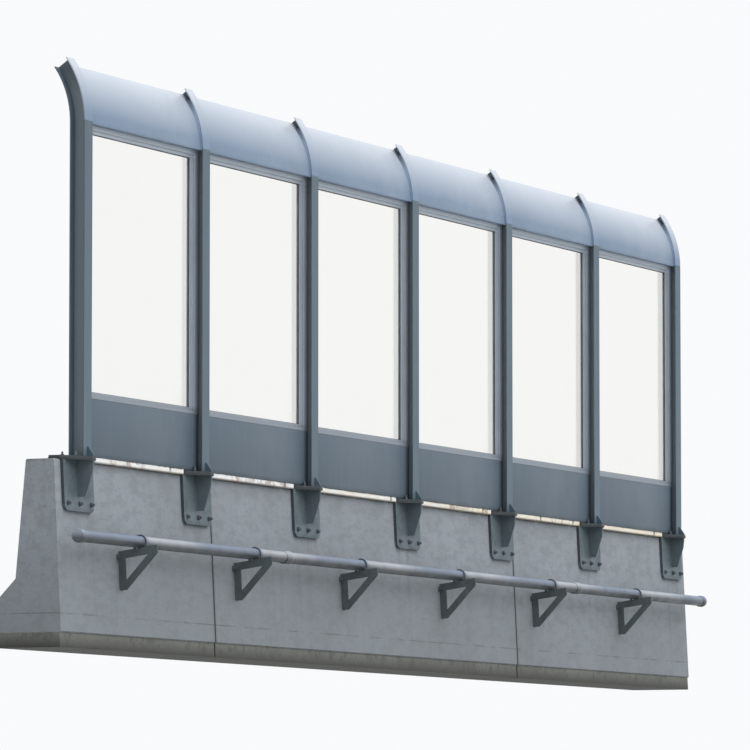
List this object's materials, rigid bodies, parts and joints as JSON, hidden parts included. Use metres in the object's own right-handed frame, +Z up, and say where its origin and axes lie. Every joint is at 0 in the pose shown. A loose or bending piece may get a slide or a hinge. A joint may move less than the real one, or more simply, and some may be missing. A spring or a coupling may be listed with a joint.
{
  "type": "highway noise barrier on a parapet",
  "caption": "Roadside noise barrier: curved-top steel posts bracketed to a concrete parapet, with solid lower panels, clear glazed panels and curved top panels, and a conduit below.",
  "frame": {"origin": "centre of the base face of the concrete, under the middle of the row", "axes": "+X along the row, from left to right seen from outside; +Y towards the road; +Z up"},
  "size_m": [12.68, 0.8471, 4.3675],
  "materials": {
    "concrete": "weathered cast concrete",
    "galvanised_steel": "dull galvanised steel",
    "post_paint": "blue-grey paint",
    "mortar": "rough pale mortar",
    "panel_paint": "blue-grey satin paint",
    "frame_aluminium": "satin anodised",
    "clear_sheet": "clear acrylic",
    "top_panel_paint": "smooth grey-blue paint",
    "conduit_steel": "galvanised pipe"
  },
  "bodies": {
    "root": {"edge_beam": "concrete", "parapet_segment_1": "concrete", "parapet_segment_2": "concrete", "parapet_segment_3": "concrete", "post_bracket_1": "galvanised_steel", "post_bracket_2": "galvanised_steel", "post_bracket_3": "galvanised_steel", "post_bracket_4": "galvanised_steel", "post_bracket_5": "galvanised_steel", "post_bracket_6": "galvanised_steel", "post_bracket_7": "galvanised_steel", "post_1": "post_paint", "post_2": "post_paint", "post_3": "post_paint", "post_4": "post_paint", "post_5": "post_paint", "post_6": "post_paint", "post_7": "post_paint", "bedding_strip": "mortar", "lower_panel_1": "panel_paint", "lower_panel_2": "panel_paint", "lower_panel_3": "panel_paint", "lower_panel_4": "panel_paint", "lower_panel_5": "panel_paint", "lower_panel_6": "panel_paint", "glass_frame_1": "frame_aluminium", "glass_frame_2": "frame_aluminium", "glass_frame_3": "frame_aluminium", "glass_frame_4": "frame_aluminium", "glass_frame_5": "frame_aluminium", "glass_frame_6": "frame_aluminium", "glass_sheet_1": "clear_sheet", "glass_sheet_2": "clear_sheet", "glass_sheet_3": "clear_sheet", "glass_sheet_4": "clear_sheet", "glass_sheet_5": "clear_sheet", "glass_sheet_6": "clear_sheet", "top_panel_1": "top_panel_paint", "top_panel_2": "top_panel_paint", "top_panel_3": "top_panel_paint", "top_panel_4": "top_panel_paint", "top_panel_5": "top_panel_paint", "top_panel_6": "top_panel_paint", "conduit": "conduit_steel", "conduit_brackets": "galvanised_steel"}
  },
  "joints": []
}
